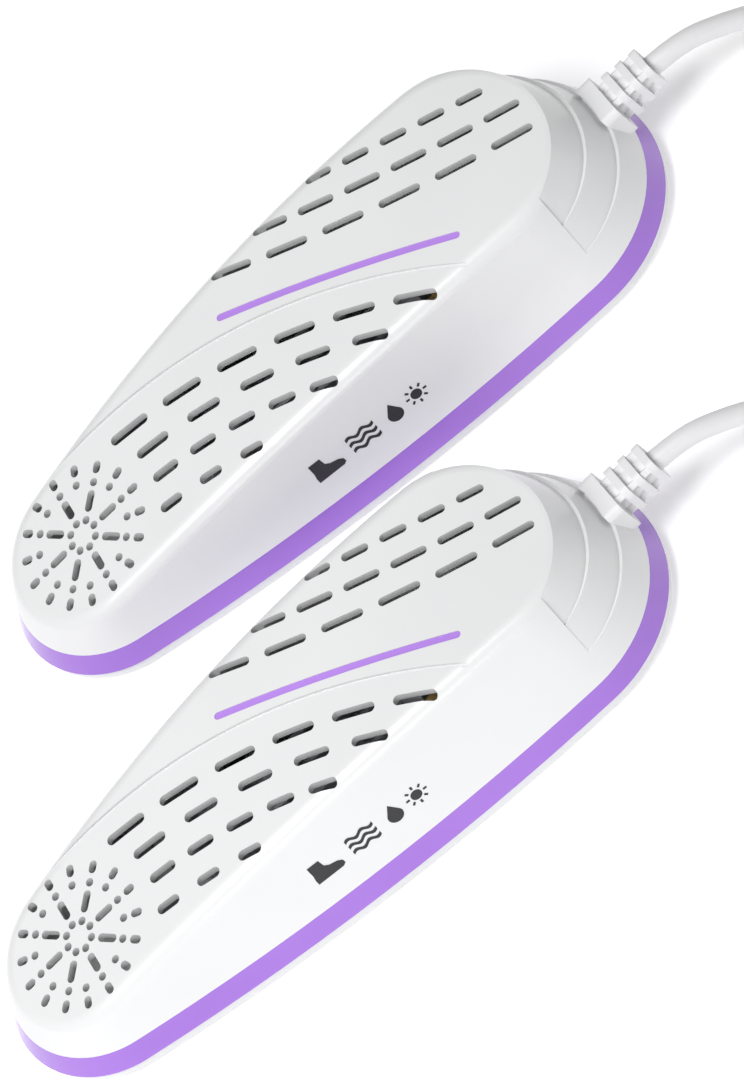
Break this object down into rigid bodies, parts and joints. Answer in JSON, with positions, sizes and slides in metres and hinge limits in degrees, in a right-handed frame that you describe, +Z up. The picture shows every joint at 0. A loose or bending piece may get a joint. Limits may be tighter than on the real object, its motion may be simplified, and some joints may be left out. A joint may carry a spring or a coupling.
{
  "type": "boot dryer",
  "caption": "Wedge-shaped electric boot dryer inserts in slotted white shells with a violet band, joined by a splitter to one mains cord and flat plug.",
  "frame": {"origin": "centre of the box round the two inserts at floor level, cords left out", "axes": "+Z up; +Y from the toes towards the heels, where the cords leave; +X across the inserts"},
  "size_m": [0.2382, 0.461, 0.0409],
  "materials": {
    "shell_white": "satin white moulded housing",
    "violet": "glossy violet trim",
    "violet_light": "satin light violet inlay",
    "cord_white": "soft white sheath",
    "tie_white": "matt white strap",
    "inner_white": "matt moulded",
    "inner_dark": "glass-filled moulded",
    "aluminium": "extruded fins",
    "film": "amber film",
    "brass": "stamped",
    "ceramic_dark": "sintered ceramic",
    "steel": "zinc plated",
    "lead_brown": "silicone insulation",
    "lead_blue": "silicone insulation",
    "sleeve": "glass-fibre sleeve"
  },
  "bodies": {
    "root": {"left_top_cover": "shell_white", "left_bottom_shell": "shell_white", "left_trim_band": "violet", "left_accent_inlay": "violet_light", "left_strain_relief": "cord_white", "left_cord_end": "cord_white", "left_cord_clamp": "inner_white", "left_clamp_screws": "steel", "left_housing_screws": "steel", "left_frame_screws": "steel", "left_heater_frame": "inner_dark", "left_upper_heat_spreader": "aluminium", "left_lower_heat_spreader": "aluminium", "left_insulating_films": "film", "left_electrode_plates": "brass", "left_ptc_elements": "ceramic_dark", "left_crimp_terminals": "brass", "left_live_lead": "lead_brown", "left_neutral_lead": "lead_blue", "left_fuse_lead": "lead_brown", "left_fuse_sleeve": "sleeve", "left_thermal_fuse": "steel", "right_top_cover": "shell_white", "right_bottom_shell": "shell_white", "right_trim_band": "violet", "right_accent_inlay": "violet_light", "right_strain_relief": "cord_white", "right_cord_end": "cord_white", "right_cord_clamp": "inner_white", "right_clamp_screws": "steel", "right_housing_screws": "steel", "right_frame_screws": "steel", "right_heater_frame": "inner_dark", "right_upper_heat_spreader": "aluminium", "right_lower_heat_spreader": "aluminium", "right_insulating_films": "film", "right_electrode_plates": "brass", "right_ptc_elements": "ceramic_dark", "right_crimp_terminals": "brass", "right_live_lead": "lead_brown", "right_neutral_lead": "lead_blue", "right_fuse_lead": "lead_brown", "right_fuse_sleeve": "sleeve", "right_thermal_fuse": "steel", "left_leg_cord": "cord_white", "left_leg_coil": "cord_white", "left_leg_tail": "cord_white", "right_leg_cord": "cord_white", "right_leg_coil": "cord_white", "right_leg_tail": "cord_white", "cord_splitter": "cord_white", "main_cord": "cord_white", "main_coil": "cord_white", "main_tail": "cord_white", "plug_body": "cord_white", "plug_pins": "steel", "coil_ties": "tie_white"}
  },
  "joints": []
}
